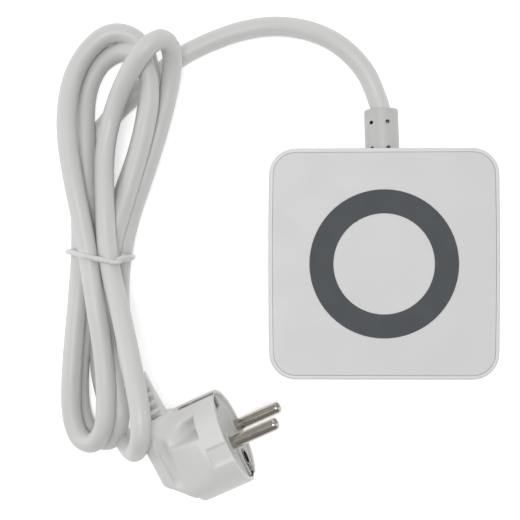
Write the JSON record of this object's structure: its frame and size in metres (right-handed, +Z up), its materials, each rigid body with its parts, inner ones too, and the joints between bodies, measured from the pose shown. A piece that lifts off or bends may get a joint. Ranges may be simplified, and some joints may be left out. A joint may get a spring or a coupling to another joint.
{
  "type": "wireless charging pad",
  "caption": "Flat square wireless charging pad with a dark round grip ring, a boot at the rear, a hanked light-grey lead and an angled earthed plug.",
  "frame": {"origin": "centre of the pad's footprint on the surface its feet stand on, lead and plug left out", "axes": "+Z up through the charging face, +Y out of the rear wall where the lead leaves, +X to the right seen from above with the lead at the top"},
  "size_m": [0.1701, 0.1888, 0.0391],
  "materials": {
    "housing": "fine satin moulded plastic, warm light grey",
    "grip": "matte dark grey rubber",
    "foot_rubber": "matte black rubber",
    "light_window": "clear gloss light pipe",
    "lead": "satin light grey PVC",
    "plug": "satin light grey moulded PVC",
    "pin": "nickel-plated brass",
    "steel": "zinc-plated steel",
    "copper": "enamelled copper litz",
    "ferrite": "dark sintered ferrite",
    "board": "green solder-masked glass-epoxy",
    "chip": "black epoxy package",
    "inner_plastic": "white nylon",
    "capacitor": "shrink-sleeved aluminium can",
    "film": "boxed film component",
    "tie": "white plastic-coated wire tie",
    "live_core": "brown PVC core",
    "neutral_core": "blue PVC core",
    "earth_core": "green and yellow PVC core"
  },
  "bodies": {
    "root": {"base_housing": "housing", "board_connector": "inner_plastic", "board_screws": "steel", "bridge_rectifier": "chip", "clamp_screws": "steel", "coil_carrier": "inner_plastic", "coil_leads": "copper", "controller_chip": "chip", "cord_boot": "lead", "cord_clamp": "inner_plastic", "cord_entry": "lead", "cord_hank": "lead", "cord_tube": "lead", "driver_transistors": "chip", "earth_wire": "earth_core", "ferrite_plate": "ferrite", "grip_ring": "grip", "housing_screws": "steel", "insulation_sheet": "inner_plastic", "interference_capacitor": "film", "interference_choke": "ferrite", "live_wire": "live_core", "mains_fuse": "chip", "mains_terminal": "inner_plastic", "neutral_wire": "neutral_core", "optocoupler": "chip", "output_capacitors": "capacitor", "plug_body": "plug", "plug_cord_tail": "lead", "plug_core_wires": "live_core", "plug_earth_clips": "pin", "plug_earth_sleeve": "pin", "plug_face": "plug", "plug_live_pin": "pin", "plug_neutral_pin": "pin", "plug_strain_relief": "lead", "power_inductor": "ferrite", "power_supply_board": "board", "reservoir_capacitors": "capacitor", "resonance_capacitors": "film", "rubber_feet": "foot_rubber", "status_led": "light_window", "status_light_window": "light_window", "switching_controller": "chip", "temperature_sensor": "film", "top_cover": "housing", "transformer_core": "ferrite", "transformer_winding": "film", "transmitter_board": "board", "transmitter_coil": "copper", "twist_tie": "tie"}
  },
  "joints": []
}
